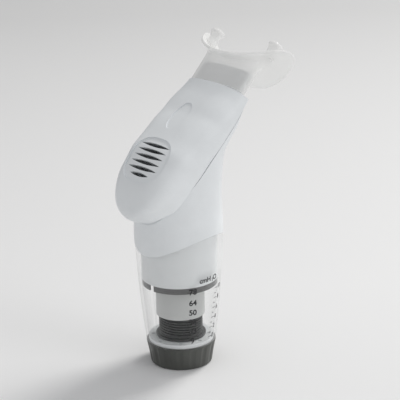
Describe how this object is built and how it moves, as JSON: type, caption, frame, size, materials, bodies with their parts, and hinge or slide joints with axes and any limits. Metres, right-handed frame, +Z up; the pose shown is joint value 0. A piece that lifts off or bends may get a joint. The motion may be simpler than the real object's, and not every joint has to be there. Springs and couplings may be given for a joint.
{
  "type": "inspiratory muscle trainer",
  "caption": "Threshold breathing trainer with an oval mouthpiece on a leaning neck, louvred cover, clear scale tube and load knob that it stands on.",
  "frame": {"origin": "centre of the knob's flat underside, on the barrel's axis, where the trainer stands", "axes": "+Z up the barrel, +X towards the user, the way the neck leans, -X the front with the louvred cover; the XZ plane is the plane of symmetry"},
  "size_m": [0.0906, 0.06, 0.1653],
  "materials": {
    "clear_soft": "clear soft silicone, slightly hazy",
    "white_shell": "cool white moulded plastic, fine satin",
    "clear_rigid": "clear rigid plastic, polished",
    "white_satin": "white moulded plastic, satin",
    "grey_moulded": "mid-dark grey moulded plastic",
    "white_slip": "natural slippery plastic",
    "spring_steel": "drawn spring steel",
    "dark_moulded": "dark olive-grey moulded plastic, satin",
    "pale_grey": "pale grey moulded plastic",
    "rubber": "soft rubber",
    "steel": "plain steel"
  },
  "bodies": {
    "housing": {"body_shell": "white_shell", "scale_tube": "clear_rigid", "inner_sleeve": "white_satin", "sleeve_ring": "grey_moulded", "base_collar": "white_satin", "thrust_washer": "white_slip", "retaining_ring": "spring_steel", "valve_seat": "white_satin", "seat_gasket": "rubber", "exhale_seat": "white_satin", "body_o_ring": "rubber", "load_spring": "spring_steel"},
    "knob": {"adjuster_knob": "dark_moulded"},
    "inlet_valve": {"inlet_poppet": "white_satin", "inlet_seal": "rubber", "valve_stem": "white_slip", "stem_nut": "steel", "stem_clip": "spring_steel"},
    "screw": {"load_screw": "dark_moulded"},
    "follower": {"load_follower": "pale_grey"},
    "flap": {"exhale_flap": "rubber"},
    "cover": {"handle_cover": "white_shell"},
    "mouth": {"mouthpiece": "clear_soft"}
  },
  "joints": [
    {"name": "knob_turn", "type": "hinge", "parent": "housing", "child": "knob", "pos_m": [0, 0, 0], "axis": [0, 0, 1], "range_deg": [-1270, 2285]},
    {"name": "inlet_lift", "type": "slide", "parent": "housing", "child": "inlet_valve", "axis": [0, 0, 1], "range_m": [0, 0.003], "stiffness_N_per_m": 95, "springref_m": -0.012},
    {"name": "screw_turn", "type": "hinge", "parent": "inlet_valve", "child": "screw", "pos_m": [0, 0, 0], "axis": [0, 0, 1], "range_deg": [-1270, 2285]},
    {"name": "follower_travel", "type": "slide", "parent": "inlet_valve", "child": "follower", "axis": [0, 0, 1], "range_m": [-0.00989, 0.01779], "deforming": ["load_spring"]},
    {"name": "exhale_lift", "type": "slide", "parent": "housing", "child": "flap", "axis": [-0.7071, 0, 0.7071], "range_m": [0, 0.0015], "stiffness_N_per_m": 60, "springref_m": -0.0005},
    {"name": "cover_pull", "type": "slide", "parent": "housing", "child": "cover", "axis": [-0.7071, 0, 0.7071], "range_m": [0, 0.03]},
    {"name": "mouthpiece_pull", "type": "slide", "parent": "housing", "child": "mouth", "axis": [0.7071, 0, 0.7071], "range_m": [0, 0.025]}
  ],
  "couplings": [
    {"joint": "screw_turn", "follows": "knob_turn", "ratio": 1},
    {"joint": "follower_travel", "follows": "knob_turn", "m_per_rad": 0.00044563}
  ]
}
